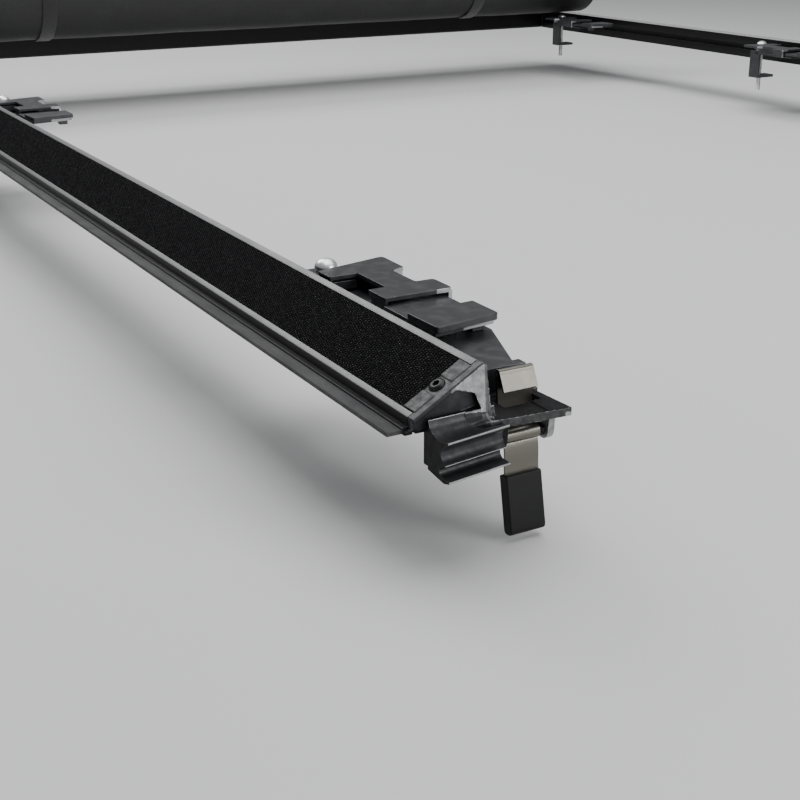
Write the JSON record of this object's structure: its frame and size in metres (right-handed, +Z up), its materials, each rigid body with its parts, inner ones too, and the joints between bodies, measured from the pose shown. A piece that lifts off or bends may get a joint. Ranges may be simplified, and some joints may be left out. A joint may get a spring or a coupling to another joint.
{
  "type": "tonneau cover",
  "caption": "Soft roll-up pickup bed cover, rolled open at the cab, with hook-tape side rails, rail clamps and rear trigger latches.",
  "frame": {"origin": "middle of the underside of the header seal, on the plane where the cover sits on the bed rails", "axes": "+X rearward to the tailgate, +Y to the passenger side, +Z up"},
  "size_m": [2.0256, 1.542, 0.2899],
  "materials": {
    "rail": "satin black powder coat with bare milled edges",
    "hook": "black woven hook tape",
    "seal": "grey closed-cell sealing strip",
    "casting": "grey die-cast alloy, lightly mottled",
    "stainless": "satin stainless strip",
    "rubber": "satin black moulded rubber",
    "steel": "zinc-plated steel",
    "zinc": "bright zinc-plated steel",
    "plate": "dark grey coated alloy",
    "vinyl": "black grained vinyl-coated polyester",
    "aluminium": "mill-finish extrusion",
    "webbing": "black woven webbing",
    "plastic": "moulded black plastic"
  },
  "bodies": {
    "cover_frame": {"left_side_rail": "rail", "left_hook_strip": "hook", "left_bed_rail_seal": "seal", "left_front_plug": "plastic", "left_corner_casting": "casting", "left_corner_screw": "steel", "left_latch_pin": "steel", "left_latch_spring": "steel", "left_latch_bracket": "plate", "left_rear_clamp_plate": "plate", "left_rear_clamp_tongue": "plate", "left_rear_clamp_bolt": "zinc", "left_middle_clamp_plate": "plate", "left_middle_clamp_tongue": "plate", "left_middle_clamp_bolt": "zinc", "left_front_clamp_plate": "plate", "left_front_clamp_tongue": "plate", "left_front_clamp_bolt": "zinc", "left_strap": "webbing", "left_strap_buckle": "plastic", "right_side_rail": "rail", "right_hook_strip": "hook", "right_bed_rail_seal": "seal", "right_front_plug": "plastic", "right_corner_casting": "casting", "right_corner_screw": "steel", "right_latch_pin": "steel", "right_latch_spring": "steel", "right_latch_bracket": "plate", "right_rear_clamp_plate": "plate", "right_rear_clamp_tongue": "plate", "right_rear_clamp_bolt": "zinc", "right_middle_clamp_plate": "plate", "right_middle_clamp_tongue": "plate", "right_middle_clamp_bolt": "zinc", "right_front_clamp_plate": "plate", "right_front_clamp_tongue": "plate", "right_front_clamp_bolt": "zinc", "right_strap": "webbing", "right_strap_buckle": "plastic", "header_bar": "rail", "header_seal": "seal", "cover_roll": "vinyl", "tail_bar": "rail", "bow_1": "aluminium", "bow_2": "aluminium", "bow_3": "aluminium", "bow_4": "aluminium"},
    "left_latch": {"left_latch_lever": "stainless", "left_lever_grip": "rubber"},
    "left_rear_jaw": {"left_rear_clamp_jaw": "plate"},
    "left_middle_jaw": {"left_middle_clamp_jaw": "plate"},
    "left_front_jaw": {"left_front_clamp_jaw": "plate"},
    "right_latch": {"right_latch_lever": "stainless", "right_lever_grip": "rubber"},
    "right_rear_jaw": {"right_rear_clamp_jaw": "plate"},
    "right_middle_jaw": {"right_middle_clamp_jaw": "plate"},
    "right_front_jaw": {"right_front_clamp_jaw": "plate"}
  },
  "joints": [
    {"name": "left_latch_pivot", "type": "hinge", "parent": "cover_frame", "child": "left_latch", "pos_m": [1.959, -0.6744, -0.0185], "axis": [0, -1, 0], "range_deg": [0, 17], "stiffness_Nm_per_rad": 0.3, "springref_deg": -20.05},
    {"name": "left_rear_jaw_slide", "type": "slide", "parent": "cover_frame", "child": "left_rear_jaw", "axis": [0, 0, -1], "range_m": [0, 0.018]},
    {"name": "left_middle_jaw_slide", "type": "slide", "parent": "cover_frame", "child": "left_middle_jaw", "axis": [0, 0, -1], "range_m": [0, 0.018]},
    {"name": "left_front_jaw_slide", "type": "slide", "parent": "cover_frame", "child": "left_front_jaw", "axis": [0, 0, -1], "range_m": [0, 0.018]},
    {"name": "right_latch_pivot", "type": "hinge", "parent": "cover_frame", "child": "right_latch", "pos_m": [1.959, 0.6744, -0.0185], "axis": [0, -1, 0], "range_deg": [0, 17], "stiffness_Nm_per_rad": 0.3, "springref_deg": -20.05},
    {"name": "right_rear_jaw_slide", "type": "slide", "parent": "cover_frame", "child": "right_rear_jaw", "axis": [0, 0, -1], "range_m": [0, 0.018]},
    {"name": "right_middle_jaw_slide", "type": "slide", "parent": "cover_frame", "child": "right_middle_jaw", "axis": [0, 0, -1], "range_m": [0, 0.018]},
    {"name": "right_front_jaw_slide", "type": "slide", "parent": "cover_frame", "child": "right_front_jaw", "axis": [0, 0, -1], "range_m": [0, 0.018]}
  ]
}
